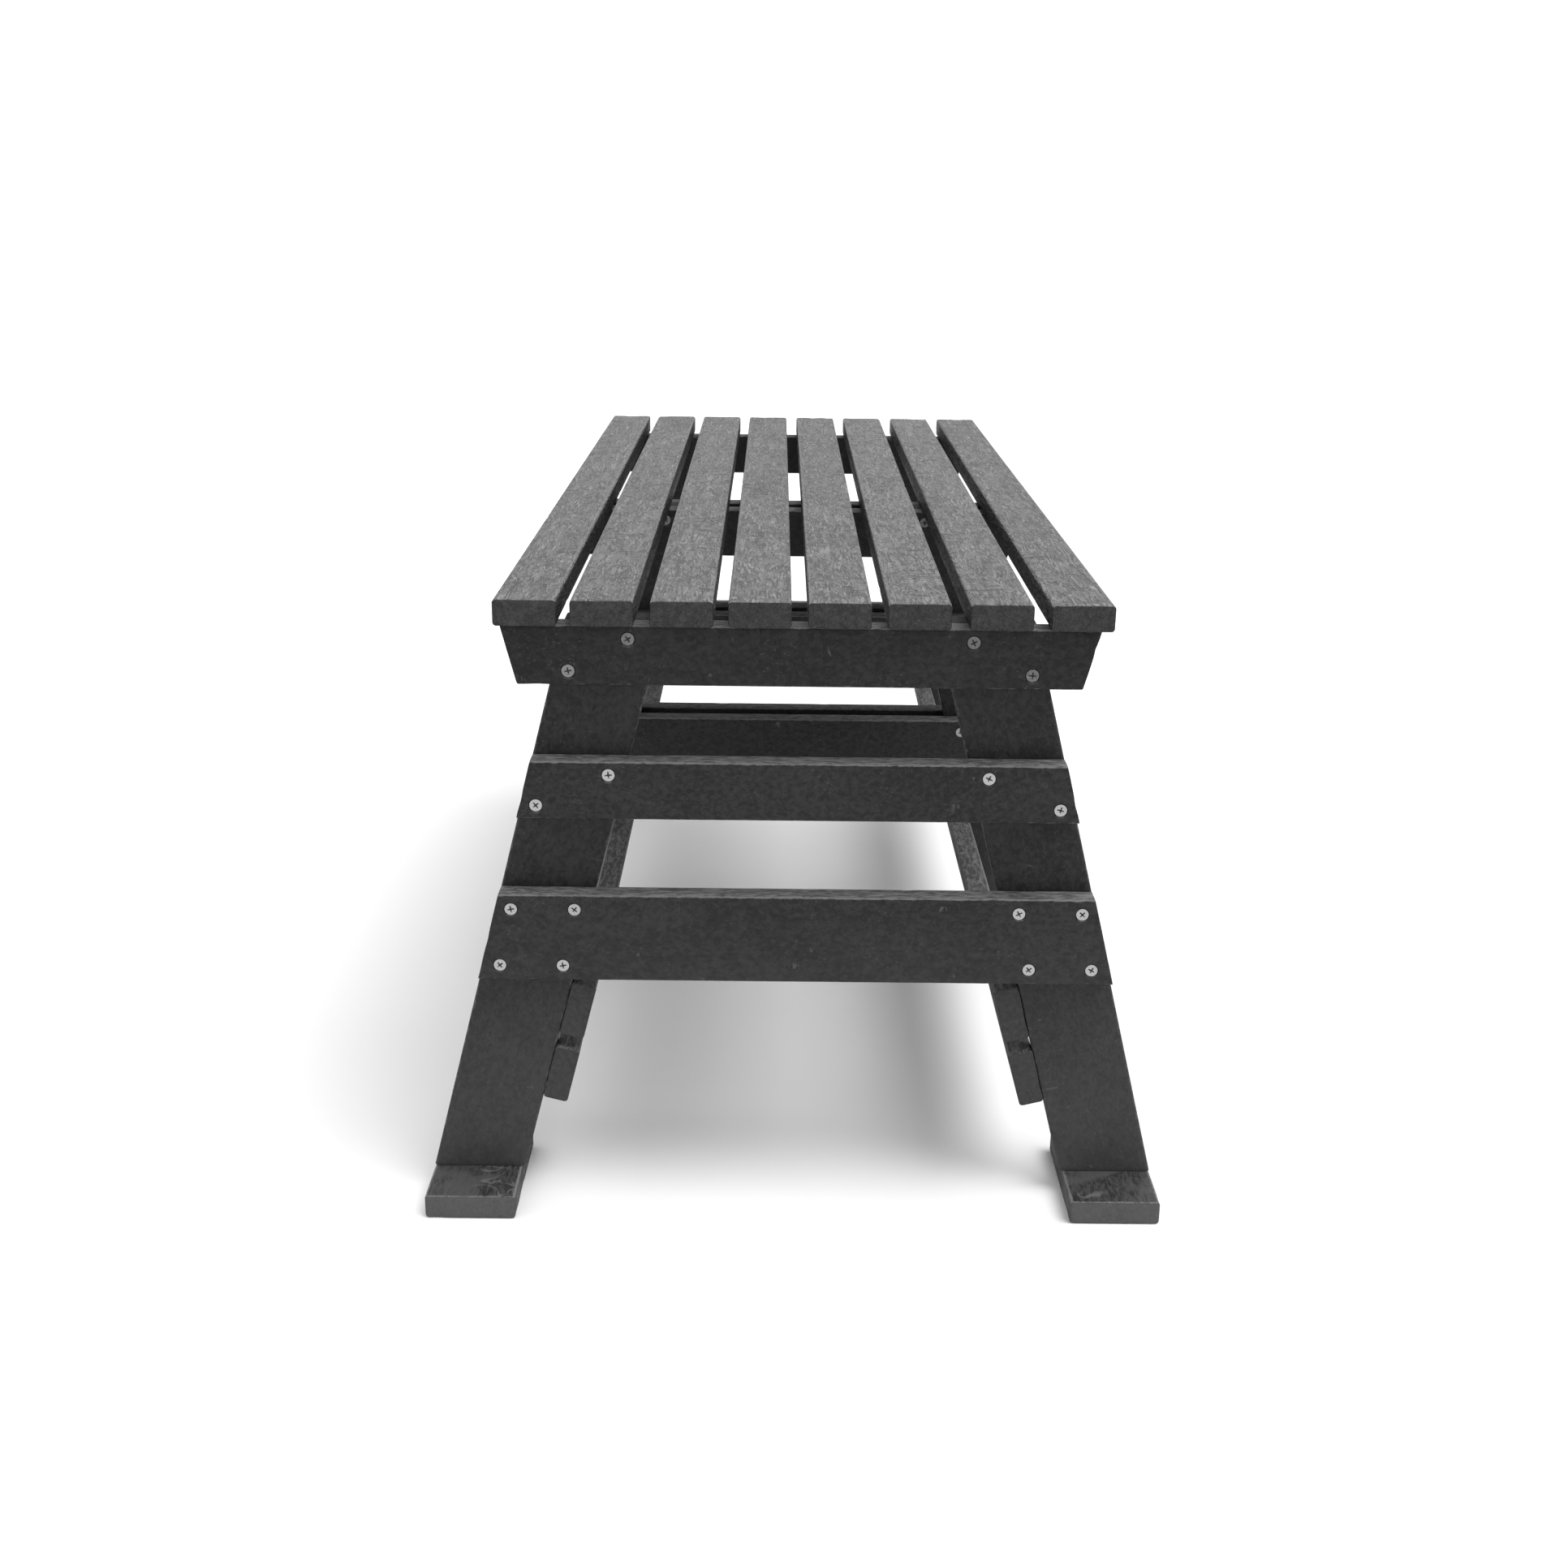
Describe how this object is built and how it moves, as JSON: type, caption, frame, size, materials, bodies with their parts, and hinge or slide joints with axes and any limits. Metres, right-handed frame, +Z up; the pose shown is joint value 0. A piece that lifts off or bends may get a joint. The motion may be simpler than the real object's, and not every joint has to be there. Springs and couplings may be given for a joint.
{
  "type": "backless bench",
  "caption": "Low backless bench of dark moulded plastic boards: lengthwise seat slats on splayed trestles with crosswise rails, long side boards and flat feet, held by cross-head screws.",
  "frame": {"origin": "on the floor under the middle of the seat", "axes": "+Z up; +Y along the bench, from the front trestle to the rear one; +X across it, to the right seen from the front"},
  "size_m": [0.563, 1.039, 0.48],
  "materials": {
    "seat_plastic": "weathered recycled plastic, mottled mid grey",
    "frame_plastic": "recycled plastic, charcoal, lightly scuffed",
    "screw_steel": "stainless cross-head screws, dulled outdoors"
  },
  "bodies": {
    "root": {"seat_slat_1": "seat_plastic", "seat_slat_2": "seat_plastic", "seat_slat_3": "seat_plastic", "seat_slat_4": "seat_plastic", "seat_slat_5": "seat_plastic", "seat_slat_6": "seat_plastic", "seat_slat_7": "seat_plastic", "seat_slat_8": "seat_plastic", "front_left_leg": "frame_plastic", "front_right_leg": "frame_plastic", "middle_left_leg": "frame_plastic", "middle_right_leg": "frame_plastic", "rear_left_leg": "frame_plastic", "rear_right_leg": "frame_plastic", "front_left_foot": "frame_plastic", "front_right_foot": "frame_plastic", "middle_left_foot": "frame_plastic", "middle_right_foot": "frame_plastic", "rear_left_foot": "frame_plastic", "rear_right_foot": "frame_plastic", "front_top_beam": "frame_plastic", "middle_front_top_beam": "frame_plastic", "middle_rear_top_beam": "frame_plastic", "rear_top_beam": "frame_plastic", "front_mid_rail": "frame_plastic", "middle_front_mid_rail": "frame_plastic", "middle_rear_mid_rail": "frame_plastic", "rear_mid_rail": "frame_plastic", "front_lower_rail": "frame_plastic", "middle_front_lower_rail": "frame_plastic", "middle_rear_lower_rail": "frame_plastic", "rear_lower_rail": "frame_plastic", "left_upper_side_board": "frame_plastic", "left_lower_side_board": "frame_plastic", "right_upper_side_board": "frame_plastic", "right_lower_side_board": "frame_plastic", "top_beam_screws": "screw_steel", "mid_rail_screws": "screw_steel", "lower_rail_screws": "screw_steel", "seat_screws": "screw_steel", "side_board_screws": "screw_steel", "foot_screws": "screw_steel"}
  },
  "joints": []
}
